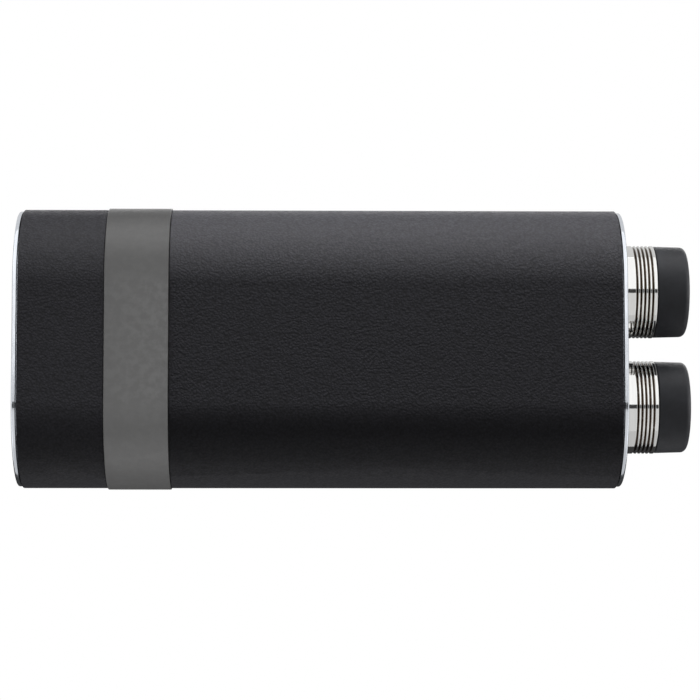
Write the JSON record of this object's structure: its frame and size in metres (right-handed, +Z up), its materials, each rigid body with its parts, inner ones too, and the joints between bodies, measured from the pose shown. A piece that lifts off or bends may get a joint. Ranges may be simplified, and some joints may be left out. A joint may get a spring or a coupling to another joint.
{
  "type": "cooled astronomy camera",
  "caption": "Long flat-sided camera body for a telescope, with a threaded opening for the telescope at one end and capped coolant stubs at the other.",
  "frame": {"origin": "middle of the bounding box, on the surface that the camera lies on", "axes": "+X from the telescope opening to the coolant stubs, +Y across the body through both stubs, +Z up out of the broad side"},
  "size_m": [0.23, 0.097, 0.057],
  "materials": {
    "black_coat": "matte fine-grained black coating",
    "grey_coat": "smooth satin grey coating",
    "polished_plate": "polished plated metal",
    "chrome_plate": "polished plated metal with fine turning marks",
    "plug_plastic": "satin black moulded plastic",
    "black_plastic": "matte black plastic",
    "black_anodised": "black anodised",
    "aluminium": "satin machined",
    "steel": "plain",
    "copper": "bare machined copper",
    "brass": "machined brass",
    "rubber": "matte",
    "optical_glass": "coated optical glass",
    "ceramic": "matte white alumina",
    "silicon": "dark glossy silicon",
    "green_board": "solder mask over glass laminate",
    "blue_board": "solder mask over glass laminate",
    "amber_film": "flexible film",
    "light_lens": "translucent lens"
  },
  "bodies": {
    "housing": {"front_sleeve": "black_coat", "rear_sleeve": "black_coat", "joint_band": "grey_coat", "front_plate": "polished_plate", "rear_plate": "polished_plate", "telescope_thread_ring": "black_anodised", "shutter_plate": "black_anodised", "shutter_motor": "steel", "sensor_chamber": "aluminium", "window_retainer": "black_anodised", "window_glass": "optical_glass", "window_seal": "rubber", "sensor_cover_glass": "optical_glass", "sensor_package": "ceramic", "sensor_die": "silicon", "sensor_board": "green_board", "cold_finger": "copper", "cooler_upper_stage": "ceramic", "cooler_lower_stage": "ceramic", "chamber_connector": "black_plastic", "desiccant_cartridge": "brass", "water_block": "copper", "water_block_gasket": "rubber", "water_block_lid": "aluminium", "sensor_lead": "amber_film", "main_board": "green_board", "power_board": "blue_board", "board_rail_left": "aluminium", "board_rail_right": "aluminium", "data_socket": "steel", "power_socket": "black_plastic", "status_light": "light_lens", "front_plate_screw_1": "steel", "rear_plate_screw_1": "steel", "front_plate_screw_2": "steel", "rear_plate_screw_2": "steel", "front_plate_screw_3": "steel", "rear_plate_screw_3": "steel", "front_plate_screw_4": "steel", "rear_plate_screw_4": "steel", "inlet_pipe": "copper", "inlet_stub": "chrome_plate", "inlet_stub_seal": "rubber", "inlet_stub_nut": "steel", "outlet_pipe": "copper", "outlet_stub": "chrome_plate", "outlet_stub_seal": "rubber", "outlet_stub_nut": "steel"},
    "shutter": {"shutter_blade": "black_anodised"},
    "inlet_plug": {"inlet_plug": "plug_plastic", "inlet_plug_seal": "rubber"},
    "inlet_valve": {"inlet_valve": "brass", "inlet_valve_spring": "steel"},
    "outlet_plug": {"outlet_plug": "plug_plastic", "outlet_plug_seal": "rubber"},
    "outlet_valve": {"outlet_valve": "brass", "outlet_valve_spring": "steel"}
  },
  "joints": [
    {"name": "shutter_swing", "type": "hinge", "parent": "housing", "child": "shutter", "pos_m": [-0.1047, 0.015, 0.0105], "axis": [1, 0, 0], "range_deg": [0, 79.6]},
    {"name": "inlet_plug_pull", "type": "slide", "parent": "housing", "child": "inlet_plug", "axis": [1, 0, 0], "range_m": [0, 0.03]},
    {"name": "outlet_plug_pull", "type": "slide", "parent": "housing", "child": "outlet_plug", "axis": [1, 0, 0], "range_m": [0, 0.03]},
    {"name": "inlet_valve_press", "type": "slide", "parent": "housing", "child": "inlet_valve", "axis": [-1, 0, 0], "range_m": [0, 0.004], "stiffness_N_per_m": 900, "springref_m": -0.003, "deforming": ["inlet_valve_spring"]},
    {"name": "outlet_valve_press", "type": "slide", "parent": "housing", "child": "outlet_valve", "axis": [-1, 0, 0], "range_m": [0, 0.004], "stiffness_N_per_m": 900, "springref_m": -0.003, "deforming": ["outlet_valve_spring"]}
  ]
}
